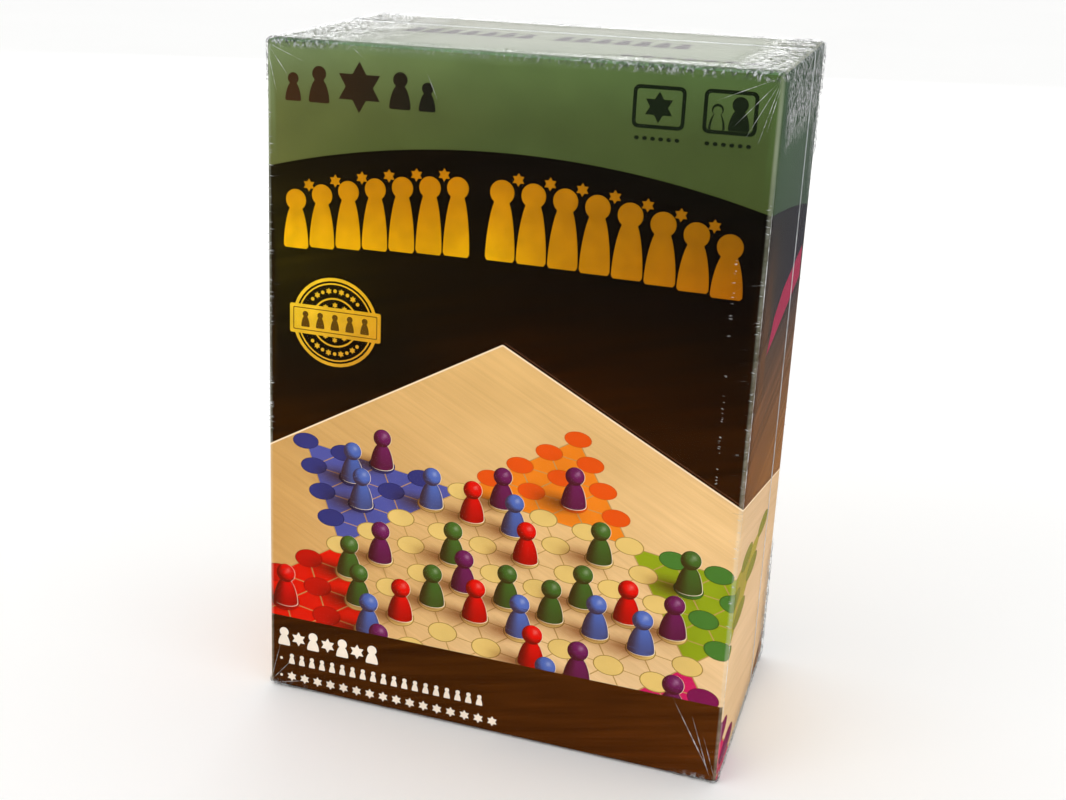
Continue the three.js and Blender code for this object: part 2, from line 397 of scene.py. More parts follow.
class Art:
    """Closed outlines laid over one another, each with its ink, cut into one mesh where the top one shows."""

    def __init__(self):
        self.points = []
        self.edges = []
        self.shapes = []
        self.result = None

    def keep(self, outline):
        first = len(self.points)
        self.points += [Vector(p) for p in outline]
        return list(range(first, len(self.points)))

    def add(self, outline, ink, material="plain"):
        """Draws a closed outline. ink is an sRGB colour, or a function of points that gives colours."""
        outline = np.asarray(outline, float)
        after = np.roll(outline, -1, 0)
        if (outline[:, 0] * after[:, 1] - outline[:, 1] * after[:, 0]).sum() < 0:
            outline = outline[::-1]
        self.shapes.append({"loop": self.keep(outline), "ink": ink, "material": material, "hole_in": None})
        return len(self.shapes) - 1

    def hole(self, outline, shape):
        """Cuts a hole in one shape, so that what lies below it shows."""
        self.add(outline, (0, 0, 0))
        self.shapes[-1]["hole_in"] = shape

    def ring(self, centre, outer, inner, ink, material="plain", sides=40):
        self.hole(circle(centre, inner, sides), self.add(circle(centre, outer, sides), ink, material))

    def line(self, a, b, samples=2):
        """A cut without ink, which gives the mesh an edge to bend along."""
        a, b = np.array(a), np.array(b)
        ids = self.keep([a + (b - a) * t for t in np.linspace(0, 1, samples)])
        self.edges += list(zip(ids[:-1], ids[1:]))

    def dots(self, points):
        """Extra points, which give smooth inks enough places to change."""
        self.keep(points)

    def cut(self):
        """Returns the points, the triangles and the shape that shows in each triangle, or -1."""
        faces = [s["loop"] for s in self.shapes]
        points, _, triangles, _, _, covers = delaunay_2d_cdt(self.points, self.edges, faces, 1, 1e-4)
        owners = []
        for cover in covers:
            holes = set()
            owner = -1
            for index in sorted(cover, reverse=True):
                inside = self.shapes[index]["hole_in"]
                if inside is not None:
                    holes.add(inside)
                elif index not in holes:
                    owner = index
                    break
            owners.append(owner)
        return np.array([tuple(p) for p in points]), triangles, owners

    def mesh(self, name, fold, keep=lambda centres: np.ones(len(centres), bool)):
        """The artwork, folded by fold(points), as an object that carries its ink and its flat coordinates."""
        flat, triangles, owners = self.cut_once()
        shown = [i for i, owner in enumerate(owners) if owner >= 0]
        centres = np.array([flat[triangles[i]].mean(0) for i in shown])
        kept = keep(centres)
        shown = [i for i, good in zip(shown, kept) if good]
        used = sorted({p for i in shown for p in triangles[i]})
        renumber = {p: n for n, p in enumerate(used)}
        faces = [[renumber[p] for p in triangles[i]] for i in shown]
        piece = link_mesh(name, fold(flat[used]), faces, MATERIALS.values())
        corner_points = np.array([flat[p] for i in shown for p in triangles[i]])
        corner_owner = np.repeat([owners[i] for i in shown], 3)
        inks = np.ones((len(corner_points), 4))
        for index in set(corner_owner.tolist()):
            rows = corner_owner == index
            ink = self.shapes[index]["ink"]
            inks[rows, :3] = linear(ink(corner_points[rows]) if callable(ink) else ink)
        colours = piece.data.color_attributes.new("ink", "FLOAT_COLOR", "CORNER")
        colours.data.foreach_set("color", inks.astype(np.float32).ravel())
        uv = piece.data.uv_layers.new(name="picture")
        uv.data.foreach_set("uv", corner_points.astype(np.float32).ravel())
        slots = [PRINT_ORDER.index(self.shapes[owners[i]]["material"]) for i in shown]
        piece.data.polygons.foreach_set("material_index", slots)
        piece.data.update()
        return piece

    def cut_once(self):
        if self.result is None:
            self.result = self.cut()
        return self.result


def circle(centre, radius, sides=24, squash=1.0):
    turns = np.linspace(0, 2 * math.pi, sides, endpoint=False)
    return np.c_[centre[0] + radius * np.cos(turns), centre[1] + radius * squash * np.sin(turns)]


def rectangle(x0, x1, z0, z1):
    return np.array([(x0, z0), (x1, z0), (x1, z1), (x0, z1)], float)


def rounded(x0, x1, z0, z1, radius, steps=5):
    corners = [(x1 - radius, z1 - radius, 0), (x0 + radius, z1 - radius, 90),
               (x0 + radius, z0 + radius, 180), (x1 - radius, z0 + radius, 270)]
    turns = np.linspace(0, 90, steps)
    angles = [(x, z, math.radians(start + t)) for x, z, start in corners for t in turns]
    return np.array([(x + radius * math.cos(a), z + radius * math.sin(a)) for x, z, a in angles])


def six_star(centre, radius, turn=90.0):
    points = []
    for k in range(12):
        angle = math.radians(turn + 30 * k)
        reach = radius / math.sqrt(3) if k % 2 else radius
        points.append((centre[0] + reach * math.cos(angle), centre[1] + reach * math.sin(angle)))
    return np.array(points)


def pawn_half_width(t, neck=0.42):
    """A pawn's half width over that of its foot, from its foot (t = 0) to its neck (t = 1)."""
    return neck + (1 - neck) * np.clip(1 - t ** 1.8, 0, 1) ** 0.8


def pawn_outline(x, z, width, height, head=0.36, steps=9):
    """The silhouette of a pawn that stands at x, z: a body that narrows to a neck, and a round head."""
    half = width / 2
    radius = half * head * 2
    centre = z + height - radius
    join = math.radians(-52)
    neck_z = centre + radius * math.sin(join)
    neck = radius * math.cos(join) / half
    body_z = z + 0.04 * height
    side = [(x + half * 0.86, z)]
    for t in np.linspace(0, 1, steps)[:-1]:
        side.append((x + half * pawn_half_width(t, neck), body_z + t * (neck_z - body_z)))
    for a in np.linspace(join, math.pi / 2, 9):
        side.append((x + radius * math.cos(a), centre + radius * math.sin(a)))
    return np.array(side + [(2 * x - px, pz) for px, pz in reversed(side[:-1])])


def blend_grid(xs, zs, rows):
    """An ink that blends between colours set at crossings of columns xs and rows zs."""
    table = np.array(rows, float)

    def ink(points):
        x = np.clip(points[:, 0], xs[0], xs[-1])
        z = np.clip(points[:, 1], zs[0], zs[-1])
        i = np.clip(np.searchsorted(xs, x, side="right") - 1, 0, len(xs) - 2)
        j = np.clip(np.searchsorted(zs, z, side="right") - 1, 0, len(zs) - 2)
        u = ((x - np.take(xs, i)) / (np.take(xs, i + 1) - np.take(xs, i)))[:, None]
        v = ((z - np.take(zs, j)) / (np.take(zs, j + 1) - np.take(zs, j)))[:, None]
        low = table[j, i] * (1 - u) + table[j, i + 1] * u
        high = table[j + 1, i] * (1 - u) + table[j + 1, i + 1] * u
        return low * (1 - v) + high * v

    return ink


# ---- the star board's pattern, in steps between neighbouring holes -------------------------------

ARMS = {"orange": (-4, 8), "green": (4, 4), "magenta": (8, -4),
        "yellow": (4, -8), "red": (-4, -4), "blue": (-8, 4)}
CORNERS = [(0, 4), (4, 0), (4, -4), (0, -4), (-4, 0), (-4, 4)]
HOLE_RADIUS = 0.33
BOARD_HALF = 7.3
LINE_HALF = 0.014


def lattice(a, b):
    return np.array([a + b / 2, b * math.sqrt(3) / 2])


def holes():
    """Every hole's (a, b), with the arm that it is in, or None in the middle hexagon."""
    for a in range(-8, 9):
        for b in range(-8, 9):
            c = -a - b
            if max(abs(a), abs(b), abs(c)) <= 4:
                yield (a, b), None
                continue
            for name, (ta, tb) in ARMS.items():
                same_side = all(v * t > 0 for v, t in ((a, ta), (b, tb), (c, -ta - tb)))
                if same_side and sorted((abs(a), abs(b), abs(c)))[1] <= 4:
                    yield (a, b), name


def arm_outline(name):
    """The triangle between an arm's tip and the two nearest corners of the middle hexagon."""
    tip = lattice(*ARMS[name])
    return np.array([tip] + sorted((lattice(*c) for c in CORNERS), key=lambda p: np.hypot(*(p - tip)))[:2])


def lattice_lines():
    """The rows of holes along three directions, as pairs of end points."""
    spots = {spot for spot, _ in holes()}
    for da, db in ((1, 0), (0, 1), (1, -1)):
        for a, b in sorted(spots):
            if (a - da, b - db) in spots:
                continue
            end = (a, b)
            while (end[0] + da, end[1] + db) in spots:
                end = (end[0] + da, end[1] + db)
            if end != (a, b):
                yield lattice(a, b), lattice(*end)


def bar(a, b, half):
    """A thin bar from a to b."""
    a, b = np.array(a, float), np.array(b, float)
    along = (b - a) / np.hypot(*(b - a))
    across = np.array([-along[1], along[0]]) * half
    return np.array([a - across, b - across, b + across, a + across])


def draw_board(art, place, inks, visible=lambda centre: True, line_half=LINE_HALF, sides=22):
    """Draws the star pattern through place(points), which maps steps to the artwork's millimetres."""
    for name in ARMS:
        tip = place(np.array([lattice(*ARMS[name]) * 0.8]))[0]
        if visible(tip):
            art.add(place(arm_outline(name)), inks[name][0])
    for a, b in lattice_lines():
        art.add(place(bar(a, b, line_half)), inks["line"])
    for spot, name in holes():
        centre = lattice(*spot)
        if not visible(place(centre[None])[0]):
            continue
        rim, fill = inks["hole"] if name is None else (inks[name][2], inks[name][1])
        art.add(place(circle(centre, HOLE_RADIUS, sides)), rim)
        art.add(place(circle(centre, HOLE_RADIUS - 1.7 * line_half, sides)), fill)


# ---- the lid's picture ---------------------------------------------------------------------------

lid_low, lid_high = box_mm("lid_printed_wrap")
HALF_W = lid_high[0]
BOTTOM, TOP = lid_low[2], lid_high[2]
LID_DEPTH = lid_high[1] - lid_low[1]
SIDE_SQUEEZE = 0.422          # picture millimetres for each millimetre of the box's depth
SIDE_END = HALF_W + LID_DEPTH * SIDE_SQUEEZE
PAPER_RADIUS = 1.6
BEND = np.array([0, 0.268, 0.577, 1])   # where a sheet creases as it bends, in shares of the bend's radius
BAND_TOP = 33.4
ARCH_RADIUS = 345.0
ARCH_TOP = 235.0

# Past x = 93 the picture runs round on to the box's right side. There the dark, green and maple inks are
# paler, greyer and, in the dark field, bluish: the print with a painted reflection of the surroundings over
# it.
DARK = blend_grid(
    [-96, -93, -40, 10, 93, 96, 140], [120, 150, 186, 230],
    [[(44, 24, 4), (44, 21, 1), (38, 18, 1), (44, 20, 1), (48, 22, 2), (124, 76, 30), (160, 106, 52)],
     [(22, 15, 8), (22, 14, 4), (22, 12, 2), (42, 17, 1), (36, 15, 1), (124, 80, 40), (76, 64, 56)],
     [(44, 38, 8), (44, 37, 4), (24, 15, 2), (16, 7, 1), (12, 4, 1), (30, 28, 36), (36, 32, 42)],
     [(26, 20, 8), (24, 18, 5), (16, 9, 2), (12, 7, 3), (9, 7, 3), (24, 26, 28), (28, 28, 32)]],
)
GREEN = blend_grid(
    [-96, -93, -50, 0, 93, 96, 140], [225, 246, 270],
    [[(84, 96, 60), (100, 104, 54), (78, 88, 42), (69, 82, 42), (66, 78, 38), (54, 74, 52), (62, 78, 64)],
     [(84, 98, 62), (98, 104, 56), (86, 94, 50), (74, 86, 46), (68, 82, 42), (56, 78, 54), (66, 84, 68)],
     [(96, 116, 84), (120, 138, 98), (110, 128, 80), (94, 114, 66), (80, 104, 58), (60, 86, 62),
      (74, 92, 76)]],
)
MAPLE = blend_grid(
    [-96, -93, 0, 92, 96, 140], [33, 100, 150],
    [[(196, 150, 96), (212, 160, 94), (234, 194, 138), (238, 200, 150), (232, 196, 150), (228, 192, 150)],
     [(196, 150, 96), (204, 156, 90), (228, 184, 122), (236, 194, 134), (226, 190, 146), (222, 184, 142)],
     [(196, 150, 96), (208, 162, 98), (226, 182, 116), (232, 190, 128), (214, 178, 130), (212, 174, 130)]],
)
BAND = blend_grid(
    [-95, -20, 95], [0, 34],
    [[(66, 32, 5), (70, 34, 5), (86, 42, 9)], [(60, 28, 3), (66, 32, 3), (82, 40, 7)]],
)
TITLE = blend_grid(
    [-88, -30, -7, 20, 88], [192, 212, 227],
    [[(240, 182, 8), (216, 156, 6), (240, 182, 8), (192, 130, 8), (158, 90, 5)],
     [(210, 145, 8), (188, 124, 5), (202, 138, 8), (176, 116, 7), (140, 88, 5)],
     [(200, 136, 12), (184, 116, 6), (190, 122, 6), (172, 112, 8), (146, 94, 6)]],
)
# The inks of each arm: its ground, its holes and their rims. The green arm turns a paler olive where it runs
# round to the box's side: its print there, greyed by a painted reflection. The middle's holes have a rim and
# a fill.
PICTURE_INKS = {
    "orange": ((238, 130, 30), (232, 84, 18), (206, 84, 18)),
    "green": [blend_grid([93, 97], [0, 150], [[front, side]] * 2) for front, side in (
        ((146, 162, 26), (174, 156, 62)), ((76, 122, 46), (142, 136, 54)), ((66, 92, 28), (122, 116, 46)))],
    "magenta": ((206, 34, 92), (128, 28, 78), (120, 24, 60)),
    "yellow": ((240, 206, 60), (222, 176, 40), (180, 140, 30)),
    "red": ((226, 30, 8), (196, 26, 10), (150, 20, 8)),
    "blue": ((84, 86, 158), (58, 56, 118), (44, 42, 92)),
    "hole": ((168, 132, 64), (230, 194, 112)),
}
PICTURE_LINE = (190, 148, 84)


def arch_z(x):
    """The green field's lower edge, an arc of a circle."""
    return ARCH_TOP - ARCH_RADIUS + math.sqrt(ARCH_RADIUS ** 2 - x ** 2)


def title_top(x):
    """Top of the arched band that the frieze fills."""
    return 225.3 - 0.00165 * x ** 2


def title_foot(x):
    return 195.3 - 0.0006 * x ** 2


def picture_map():
    """The view of the board in the picture: steps to picture millimetres, from four of the star's tips."""
    known = {"orange": (32.3, 131.3), "green": (122.3, 81.8), "magenta": (108.8, -4.4),
             "blue": (-78.2, 112.9)}
    rows = []
    for name, (u, v) in known.items():
        x, y = lattice(*ARMS[name])
        rows.append([x, y, 1, 0, 0, 0, -u * x, -u * y, -u])
        rows.append([0, 0, 0, x, y, 1, -v * x, -v * y, -v])
    matrix = np.linalg.svd(np.array(rows))[2][-1].reshape(3, 3)

    def place(points):
        mapped = np.c_[points, np.ones(len(points))] @ matrix.T
        return mapped[:, :2] / mapped[:, 2:]

    return place


to_picture = picture_map()

PAWN_INKS = {"blue": (84, 106, 182), "purple": (112, 34, 84), "red": (226, 22, 10), "green": (74, 104, 38)}
PAWN_FOOT = 0.58              # a pictured pawn's width, in steps
PICTURED_PAWNS = {
    "blue": [(-6, 3), (-5, 2), (-4, 3), (-2, 3), (1, -1), (3, -3), (2, 0), (3, 0), (-1, -3)],
    "purple": [(-6, 4), (-3, 4), (-2, 5), (-3, 0), (-1, 0), (3, -2), (3, 1), (5, -2), (0, -4)],
    "red": [(-3, 3), (-1, 2), (-1, -2), (0, -1), (2, -2), (2, 1), (-3, -3)],
    "green": [(-2, 1), (-3, -1), (-2, -2), (-1, -1), (0, 0), (1, 0), (1, 1), (0, 3), (2, 3)],
}
SHADE_BROWN = np.array((62, 26, 10), float)
SHADOW_BROWN = np.array((118, 62, 26), float)


def pictured_pawns():
    """The picture's pawns from back to front: colour, x and z of the foot, and the step's length there."""
    found = []
    for name, spots in PICTURED_PAWNS.items():
        for spot in spots:
            here = lattice(*spot)
            x, z = to_picture(here[None])[0]
            sides = to_picture(np.array([here + (0.5, 0), here - (0.5, 0)]))
            found.append((name, x, z, math.hypot(*(sides[0] - sides[1]))))
    return sorted(found, key=lambda pawn: -pawn[2])


PAWNS_IN_PICTURE = pictured_pawns()


def with_shadows(ink):
    """The same ink under the soft shadows that the pictured pawns throw to their left."""

    def shaded(points):
        base = ink(points) if callable(ink) else np.tile(np.asarray(ink, float), (len(points), 1))
        keep = np.ones(len(points))
        for _, x, z, step in PAWNS_IN_PICTURE:
            foot = PAWN_FOOT * step
            u = (x - points[:, 0]) / foot
            v = (points[:, 1] - z - 0.07 * foot * (u - 1)) / foot
            along = smooth(-0.5, 0.15, u) * (1 - smooth(0.4, 2.1, u))
            keep *= 1 - 0.74 * along * np.exp(-((v / (0.27 + 0.06 * np.abs(u))) ** 2))
        dark = SHADOW_BROWN * (base.mean(1) / 190)[:, None]
        return base * keep[:, None] + dark * (1 - keep)[:, None]

    return shaded


def lit_body(colour, x, z, foot, top):
    """Ink of a pictured pawn's body: lit from the right, brown in the shade."""
    colour = np.array(colour, float)

    def ink(points):
        t = np.clip((points[:, 1] - z) / (top - z), 0, 1)
        across = np.clip((points[:, 0] - x) / (foot / 2 * pawn_half_width(t)), -1, 1)
        light = (0.3 + 0.7 * smooth(-0.95, 0.1, across)) * (1 - 0.22 * smooth(0.75, 1.0, across))
        return SHADE_BROWN + (colour - SHADE_BROWN) * (light * (0.74 + 0.26 * t))[:, None]

    return ink


def lit_head(colour, x, z, radius):
    """Ink of a pictured pawn's head: a lit ball with a soft highlight at the upper right."""
    colour = np.array(colour, float)
    glint = np.array((240, 236, 238), float)

    def ink(points):
        p = (points - (x, z)) / radius
        depth = np.sqrt(np.clip(1 - (p ** 2).sum(1), 0, 1))
        lit = np.clip(0.5 * p[:, 0] + 0.42 * p[:, 1] + 0.75 * depth, 0, 1)
        body = SHADE_BROWN + (colour - SHADE_BROWN) * (0.35 + 0.65 * smooth(0.1, 0.7, lit))[:, None]
        spot = np.exp(-((p - (0.3, 0.34)) ** 2).sum(1) / 0.06)[:, None] * 0.36
        return body * (1 - spot) + glint * spot

    return ink


def draw_pictured_pawn(art, name, x, z, step):
    foot = PAWN_FOOT * step
    half = foot / 2
    head_radius = 0.385 * foot
    head_z = z + 0.68 * step
    neck_z = head_z - 0.8 * head_radius
    levels = np.linspace(0, 1, 9)
    side = [(half * pawn_half_width(t, 0.46), z + t * (neck_z - z)) for t in levels]
    turns = np.linspace(0, -math.pi, 13)
    outline = [(x + half * math.cos(a), z + 0.42 * half * math.sin(a)) for a in turns]
    outline += [(x - w, h) for w, h in side[1:]]
    outline += [(x + w, h) for w, h in reversed(side[1:])]
    halo = (250, 228, 196)
    art.add(np.array(outline) + (0.22, -0.16), halo)
    art.add(circle((x + 0.16, head_z), head_radius, 24), halo)
    colour = PAWN_INKS[name]
    art.add(outline, lit_body(colour, x, z, foot, neck_z))
    across = np.linspace(-0.85, 0.95, 8)
    art.dots([(x + w * s, h) for w, h in side[:-1] for s in across])
    art.add(circle((x, head_z), head_radius, 24), lit_head(colour, x, head_z, head_radius))
    for share in (0.3, 0.55, 0.8):
        art.dots(circle((x + 0.1 * head_radius, head_z + 0.08 * head_radius), head_radius * share, 14))
    art.dots(circle((x + 0.3 * head_radius, head_z + 0.34 * head_radius), head_radius * 0.14, 8))


def draw_picture_board(art):
    """The board in the picture: maple, its pale edge, the star and the shadows."""
    corners = [lattice_square(angle) for angle in (105, 15, -75, -165)]
    outline = to_picture(np.array(corners))
    art.add(outline, with_shadows(MAPLE), "maple")
    for first, second in ((0, 1), (3, 0)):
        a, b = outline[first], outline[second]
        art.add(bar(a, b, 0.32), (250, 222, 184))
    right = outline[1] - outline[0]
    away = np.array([-right[1], right[0]]) / np.hypot(*right) * (-1.3 if right[0] < 0 else 1.3)
    art.add(bar(outline[0] + away, outline[1] + away, 0.16), (96, 62, 44))
    inks = {name: [with_shadows(ink) for ink in group] for name, group in PICTURE_INKS.items()}
    inks["line"] = with_shadows(PICTURE_LINE)
    limit = SIDE_END + 14
    draw_board(art, to_picture, inks, lambda p: abs(p[0]) < limit and p[1] > -16)
    along, across = (-0.3, 0.0, 0.25, 0.5, 0.8, 1.1, 1.5, 2.1), (-0.5, -0.25, 0.0, 0.25, 0.5)
    for _, x, z, step in PAWNS_IN_PICTURE:
        foot = PAWN_FOOT * step
        art.dots([(x - u * foot, z + v * foot) for u in along for v in across])
    for name, x, z, step in PAWNS_IN_PICTURE:
        draw_pictured_pawn(art, name, x, z, step)


def lattice_square(angle):
    """A corner of the board, from its centre, in steps."""
    reach = BOARD_HALF * math.sqrt(2)
    return np.array([reach * math.cos(math.radians(angle)), reach * math.sin(math.radians(angle))])


def draw_title(art):
    """A frieze of pawns with stars between their heads, where a title would stand."""
    for first, last, count in ((-82.4, -17.8, 7), (-1.0, 81.4, 8)):
        xs = np.linspace(first, last, count)
        pitch = xs[1] - xs[0]
        for x in xs:
            foot = title_foot(x)
            height = title_top(x) - foot
            art.add(pawn_outline(x, foot, pitch * 0.95, height, head=0.41, steps=12), TITLE, "gold")
        for x in (xs[:-1] + xs[1:]) / 2:
            art.add(six_star((x, title_top(x) + 0.6), 2.5), TITLE, "gold")


def draw_emblem(art):
    """A plain six-pointed star between pawns, and two framed pictograms."""
    black = blend_grid([-90, -25], [240, 265], [[(66, 42, 22), (26, 26, 18)]] * 2)
    art.add(six_star((-57, 254), 9.4), black)
    for x, height in ((-83.5, 10.5), (-73, 13.5), (-41, 13.5), (-30.5, 10.5)):
        art.add(pawn_outline(x, 247.2, height * 0.62, height, head=0.34), black)
    ink = (22, 30, 16)
    for x0, x1, z0, z1 in ((44.2, 62.4, 248, 262.8), (68.4, 86.6, 248, 263)):
        frame_shape = art.add(rounded(x0, x1, z0, z1, 2.2), ink)
        art.hole(rounded(x0 + 1.35, x1 - 1.35, z0 + 1.35, z1 - 1.35, 1.1), frame_shape)
        for k in range(6):
            dash = x0 + 1.2 + k * 2.8
            art.add(rounded(dash, dash + 1.7, z0 - 4.1, z0 - 2.7, 0.6, 3), ink)
    art.add(six_star((53.3, 255.4), 5.4), ink)
    art.add(pawn_outline(80.6, 249.4, 7.2, 11.6, head=0.38), ink)
    small = art.add(pawn_outline(73.2, 249.4, 5.6, 8.8, head=0.36), ink)
    art.hole(pawn_outline(73.2, 249.4, 4.0, 7.9, head=0.38), small)


def draw_seal(art):
    """A round gold seal with a ribbon of pawns across it."""
    centre = np.array((-66.0, 163.4))
    gold = blend_grid([-86, -46], [145, 182],
                      [[(226, 178, 40), (206, 140, 40)], [(246, 206, 44), (222, 168, 24)]])

    def around(angle, radius):
        return centre + radius * np.array((math.cos(math.radians(angle)), math.sin(math.radians(angle))))

    for outer, inner in ((17.8, 16.5), (15.7, 15.1), (9.9, 9.2)):
        art.ring(centre, outer, inner, gold, "gold")
    for start in (90, 270):
        for k in range(-4, 5):
            spot = around(start + k * 12, 12.6)
            art.add(six_star(spot, 1.35) if k % 2 else circle(spot, 0.75, 12), gold, "gold")
        for k in (-1, 0, 1):
            art.add(six_star(around(start + k * 34, 7.0), 1.2), gold, "gold")
    ribbon = np.array((centre[0] - 19, centre[0] + 19, centre[1] - 5.9, centre[1] + 5.9))
    art.add(rounded(*ribbon, 0.8), gold, "gold")
    border = art.add(rounded(*(ribbon + (1.4, -1.4, 1.3, -1.3)), 0.5), (120, 84, 18))
    art.hole(rounded(*(ribbon + (1.8, -1.8, 1.7, -1.7)), 0.4), border)
    for k in range(-2, 3):
        art.add(pawn_outline(centre[0] + k * 6.2, centre[1] - 3.2, 3.6, 6.4, head=0.34), (96, 66, 14))


def draw_contents(art):
    """White pictograms on the bottom band: a heading of pawns, a row of pieces and a row of boards."""
    white = (246, 232, 214)
    for k in range(7):
        x = -88 + k * 6.6
        if k % 2:
            art.add(six_star((x, 23.8), 3.3), white)
        else:
            art.add(pawn_outline(x, 19.8, 5.4, 8.2, head=0.38), white)
    for row, (z, last) in enumerate(((11.6, -1.0), (3.6, 6.0))):
        art.add(circle((-89.3, z + 1.9), 0.65, 10), white)
        x = -84.5
        while x < last:
            if row == 0:
                art.add(pawn_outline(x, z, 2.7, 4.7, head=0.35), white)
                x += 4.6
            else:
                art.add(six_star((x, z + 2.1), 2.3), white)
                x += 5.9


def lid_art():
    """The lid's whole picture: the sides' run on from the face's, and the ends have fields of their own."""
    art = Art()
    art.add(rectangle(-SIDE_END, SIDE_END, BOTTOM, TOP), DARK, "dark_wood")
    reach = np.linspace(-SIDE_END - 1, SIDE_END + 1, 49)
    art.add(clip_box([(x, arch_z(x)) for x in reach] + [(reach[-1], TOP + 5), (reach[0], TOP + 5)]), GREEN)
    draw_picture_board(art)
    art.add(rectangle(-HALF_W, HALF_W, BOTTOM, BAND_TOP), BAND, "dark_wood")
    art.add(rectangle(-HALF_W, HALF_W, TOP, TOP + LID_DEPTH), blend_grid(
        [-95, 95], [TOP, TOP + 12, TOP + LID_DEPTH],
        [[(110, 142, 104), (104, 140, 96)],
         [(126, 132, 112), (120, 130, 104)],
         [(142, 142, 126), (136, 142, 122)]]))
    art.add(rectangle(-HALF_W, HALF_W, BOTTOM - LID_DEPTH, BOTTOM), BAND, "dark_wood")
    draw_title(art)
    draw_emblem(art)
    draw_seal(art)
    draw_contents(art)
    faint = (46, 34, 34)
    for k in range(15):
        if k != 7:
            art.add(pawn_outline(-58 + k * 7.6, TOP + 52, 6.2, 17, head=0.38), faint)
    for k in range(7):
        art.add(six_star((36 + k * 7.4, TOP + 22), 3.6), faint)
    ribbon = [(0.2, 166), (0.96, 176), (0.96, 189), (0.5, 183), (0.32, 177)]
    art.add([(HALF_W + t * LID_DEPTH * SIDE_SQUEEZE, z) for t, z in ribbon], (158, 36, 72))

    def upright(x, past=0.0):
        art.line((x, BOTTOM - past), (x, TOP + past))

    def level(z, half):
        art.line((-half, z), (half, z))

    for sign in (-1, 1):
        for s in PAPER_RADIUS * BEND:
            upright(sign * (HALF_W - s), LID_DEPTH)
            upright(sign * (HALF_W + s * SIDE_SQUEEZE))
    for s in PAPER_RADIUS * BEND:
        level(TOP - s, SIDE_END)
        level(BOTTOM + s, SIDE_END)
        level(TOP + s, HALF_W)
        level(BOTTOM - s, HALF_W)
    for t in np.linspace(0, LID_DEPTH, 12)[1:-1]:
        upright(-HALF_W - t * SIDE_SQUEEZE)
        upright(HALF_W + t * SIDE_SQUEEZE)
        level(TOP + t, HALF_W)
        level(BOTTOM - t, HALF_W)
    across = np.linspace(-HALF_W + 4, HALF_W - 4, 26)
    art.dots([(x, z) for x in across for z in np.linspace(BOTTOM + 4, TOP - 4, 38)])
    return art


def clip_box(outline):
    """The outline with its points kept inside the picture."""
    return [(min(max(x, -SIDE_END), SIDE_END), min(max(z, BOTTOM), TOP)) for x, z in outline]


def in_net(centres):
    """Which points lie on the cross-shaped sheet that folds into the lid."""
    x, z = np.abs(centres[:, 0]), centres[:, 1]
    body = (x < SIDE_END) & (z > BOTTOM) & (z < TOP)
    flaps = (x < HALF_W) & (z > BOTTOM - LID_DEPTH) & (z < TOP + LID_DEPTH)
    return body | flaps


def round_box(points, low, high, radius, open_low_y=False, open_high_y=False):
    """Moves points on a sharp box to the same box with rounded edges."""
    inner_low = np.array(low, float) + radius
    inner_high = np.array(high, float) - radius
    if open_low_y:
        inner_low[1] = -1e6
    if open_high_y:
        inner_high[1] = 1e6
    centre = np.clip(points, inner_low, inner_high)
    away = points - centre
    length = np.linalg.norm(away, axis=1, keepdims=True)
    return centre + away / np.maximum(length, 1e-9) * radius


def fold_lid(flat):
    """Folds the cross-shaped picture on to the lid: the face looks to -Y and the flaps run back."""
    x, z = flat[:, 0], flat[:, 1]
    side = np.clip((np.abs(x) - HALF_W) / SIDE_SQUEEZE, 0, None)
    ends = np.clip(z - TOP, 0, None) + np.clip(BOTTOM - z, 0, None)
    points = np.c_[np.clip(x, -HALF_W, HALF_W), lid_low[1] + side + ends, np.clip(z, BOTTOM, TOP)]
    return round_box(points, lid_low, lid_high, PAPER_RADIUS, open_high_y=True)


def rim_loop(low, high, y, radius, steps=4):
    """Points round a rounded rectangle in the X-Z plane, at one y."""
    loop = rounded(low[0], high[0], low[2], high[2], radius, steps)
    return np.c_[loop[:, 0], np.full(len(loop), y), loop[:, 1]]


def turned_rim(name, low, high, rim_y, wall, depth, material, towards):
    """The strip of paper that turns round a card wall's rim and a little way down inside it."""
    inner_low = low + wall
    inner_high = high - wall
    loops = [
        rim_loop(low, high, rim_y, 1.0),
        rim_loop(low + 0.3, high - 0.3, rim_y + 0.2 * towards, 0.9),
        rim_loop(inner_low - 0.3, inner_high + 0.3, rim_y + 0.2 * towards, 0.5),
        rim_loop(inner_low, inner_high, rim_y, 0.4),
        rim_loop(inner_low, inner_high, rim_y - depth * towards, 0.4),
    ]
    count = len(loops[0])
    faces = []
    for start in range(0, count * (len(loops) - 1), count):
        for i in range(count):
            j = (i + 1) % count
            faces.append((start + i, start + j, start + count + j, start + count + i))
    return link_mesh(name, np.concatenate(loops), faces, [material])


lid_wrap = lid_art().mesh("lid_printed_paper", fold_lid, in_net)
weld(lid_wrap)
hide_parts("lid_printed_wrap")
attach(lid_wrap, "lid")

# ---- the base's paper, with a plain back ---------------------------------------------------------

base_low, base_high = box_mm("base_printed_wrap")
BACK_RADIUS = 1.3


